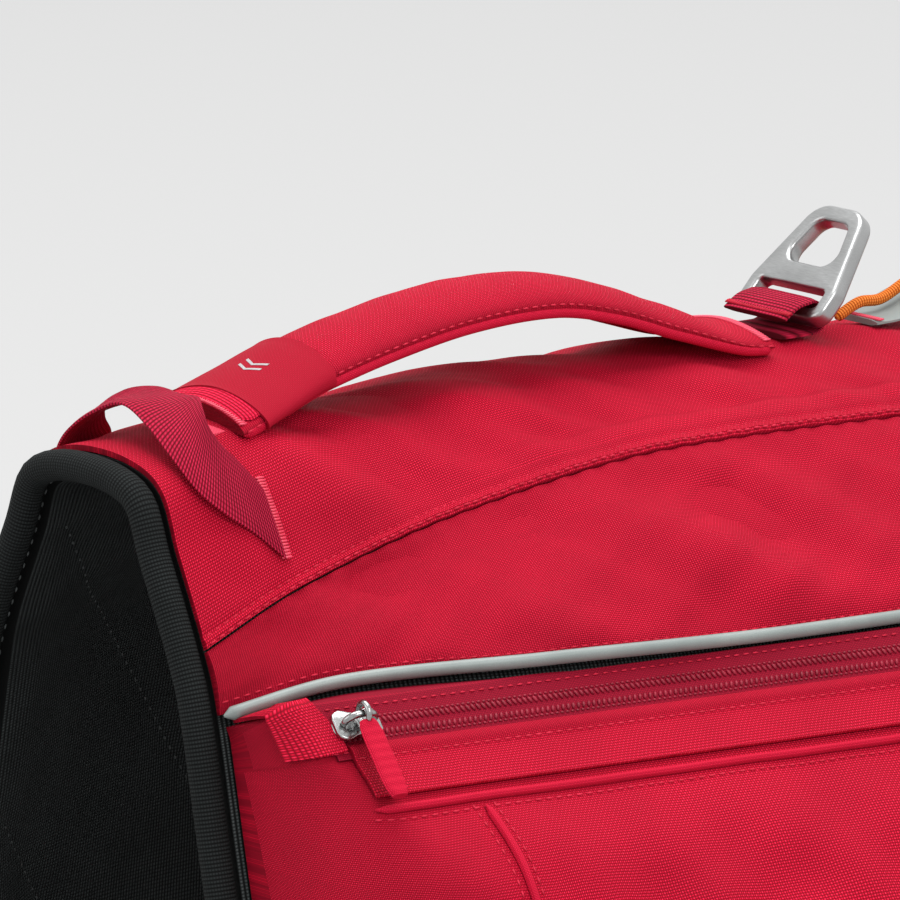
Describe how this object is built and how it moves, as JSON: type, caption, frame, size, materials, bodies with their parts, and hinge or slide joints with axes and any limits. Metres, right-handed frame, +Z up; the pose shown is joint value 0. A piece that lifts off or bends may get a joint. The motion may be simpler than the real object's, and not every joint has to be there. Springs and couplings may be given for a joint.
{
  "type": "dog saddle daypack",
  "caption": "Saddle-shaped daypack for a dog: padded spine with a lift handle, leash ring, two zipped saddlebags with pockets, girth and chest straps with buckles.",
  "frame": {"origin": "centre of the whole pack's box, on the surface that the two saddlebags stand on", "axes": "+Z up, -Y towards the dog's head, +X the dog's left side"},
  "size_m": [0.3976, 0.445, 0.3211],
  "materials": {
    "crimson_nylon": "coarse plain weave, low sheen",
    "wine_tape": "fine woven tape, matte",
    "wine_webbing": "ribbed webbing, matte",
    "charcoal_mesh": "padded ribbed mesh, matte",
    "foam": "closed-cell foam, matte",
    "reflective_silver": "reflective coated cloth, satin",
    "orange_cord": "braided cord, matte",
    "bright_nickel": "polished nickel plate",
    "satin_aluminium": "tumbled and polished",
    "black_acetal": "moulded, fine grain"
  },
  "bodies": {
    "saddle": {"belly_pad": "charcoal_mesh", "chest_buckle_female": "black_acetal", "chest_pad": "charcoal_mesh", "chest_strap_left": "wine_webbing", "chest_strap_right": "wine_webbing", "front_binding": "charcoal_mesh", "front_girth_buckle_female": "black_acetal", "front_girth_strap": "wine_webbing", "front_girth_tab": "wine_webbing", "front_loop": "wine_webbing", "handle_cover": "crimson_nylon", "handle_foam": "foam", "handle_patch": "wine_tape", "main_zip_left": "wine_tape", "main_zip_right": "wine_tape", "piping_left": "reflective_silver", "piping_right": "reflective_silver", "pocket_zip_left": "wine_tape", "pocket_zip_right": "wine_tape", "rear_binding": "charcoal_mesh", "rear_cord": "orange_cord", "rear_girth_buckle_female": "black_acetal", "rear_girth_strap": "wine_webbing", "rear_girth_tab": "wine_webbing", "rear_loop": "reflective_silver", "saddle_lining": "charcoal_mesh", "saddlebag_left": "crimson_nylon", "saddlebag_right": "crimson_nylon", "side_panel_left": "crimson_nylon", "side_panel_right": "crimson_nylon", "spine_panel": "crimson_nylon", "stash_pocket_left": "crimson_nylon", "stash_pocket_right": "crimson_nylon", "v_ring_tab": "wine_webbing", "zip_garage_left": "crimson_nylon", "zip_garage_right": "crimson_nylon"},
    "v_ring": {"v_ring": "satin_aluminium"},
    "main_slider_left": {"main_slider_left": "bright_nickel"},
    "main_pull_left": {"main_pull_left": "bright_nickel"},
    "main_slider_right": {"main_slider_right": "bright_nickel"},
    "main_pull_right": {"main_pull_right": "bright_nickel"},
    "pocket_slider_left": {"pocket_slider_left": "bright_nickel"},
    "pocket_pull_left": {"pocket_pull_left": "bright_nickel"},
    "pocket_slider_right": {"pocket_slider_right": "bright_nickel"},
    "pocket_pull_right": {"pocket_pull_right": "bright_nickel"},
    "front_girth_buckle_male": {"front_girth_buckle_male": "black_acetal"},
    "rear_girth_buckle_male": {"rear_girth_buckle_male": "black_acetal"},
    "chest_buckle_male": {"chest_buckle_male": "black_acetal"}
  },
  "joints": [
    {"name": "v_ring_hinge", "type": "hinge", "parent": "saddle", "child": "v_ring", "pos_m": [0, 0.11605, 0.29562], "axis": [1, 0, 0], "range_deg": [-25, 80]},
    {"name": "main_zip_left", "type": "slide", "parent": "saddle", "child": "main_slider_left", "axis": [0.1191, 0.9929, 0], "range_m": [0, 0.25]},
    {"name": "main_pull_left_hinge", "type": "hinge", "parent": "main_slider_left", "child": "main_pull_left", "pos_m": [0.08562, -0.08933, 0.23191], "axis": [-0.1191, -0.9929, 0], "range_deg": [0, 150]},
    {"name": "main_zip_right", "type": "slide", "parent": "saddle", "child": "main_slider_right", "axis": [-0.1191, 0.9929, 0], "range_m": [0, 0.25]},
    {"name": "main_pull_right_hinge", "type": "hinge", "parent": "main_slider_right", "child": "main_pull_right", "pos_m": [-0.08562, -0.08933, 0.23191], "axis": [-0.1191, 0.9929, 0], "range_deg": [0, 150]},
    {"name": "pocket_zip_left", "type": "slide", "parent": "saddle", "child": "pocket_slider_left", "axis": [0.1191, 0.9929, 0], "range_m": [0, 0.138]},
    {"name": "pocket_pull_left_hinge", "type": "hinge", "parent": "pocket_slider_left", "child": "pocket_pull_left", "pos_m": [0.18206, -0.0189, 0.1439], "axis": [-0.1191, -0.9929, 0], "range_deg": [0, 150]},
    {"name": "pocket_zip_right", "type": "slide", "parent": "saddle", "child": "pocket_slider_right", "axis": [-0.1191, 0.9929, 0], "range_m": [0, 0.138]},
    {"name": "pocket_pull_right_hinge", "type": "hinge", "parent": "pocket_slider_right", "child": "pocket_pull_right", "pos_m": [-0.18206, -0.0189, 0.1439], "axis": [-0.1191, 0.9929, 0], "range_deg": [0, 150]},
    {"name": "front_girth_release", "type": "slide", "parent": "saddle", "child": "front_girth_buckle_male", "axis": [-1, 0, 0], "range_m": [0, 0.02], "deforming": ["front_girth_strap"]},
    {"name": "rear_girth_release", "type": "slide", "parent": "saddle", "child": "rear_girth_buckle_male", "axis": [-1, 0, 0], "range_m": [0, 0.02], "deforming": ["rear_girth_strap"]},
    {"name": "chest_release", "type": "slide", "parent": "saddle", "child": "chest_buckle_male", "axis": [0, -1, 0], "range_m": [0, 0.02], "deforming": ["chest_strap_right"]}
  ]
}
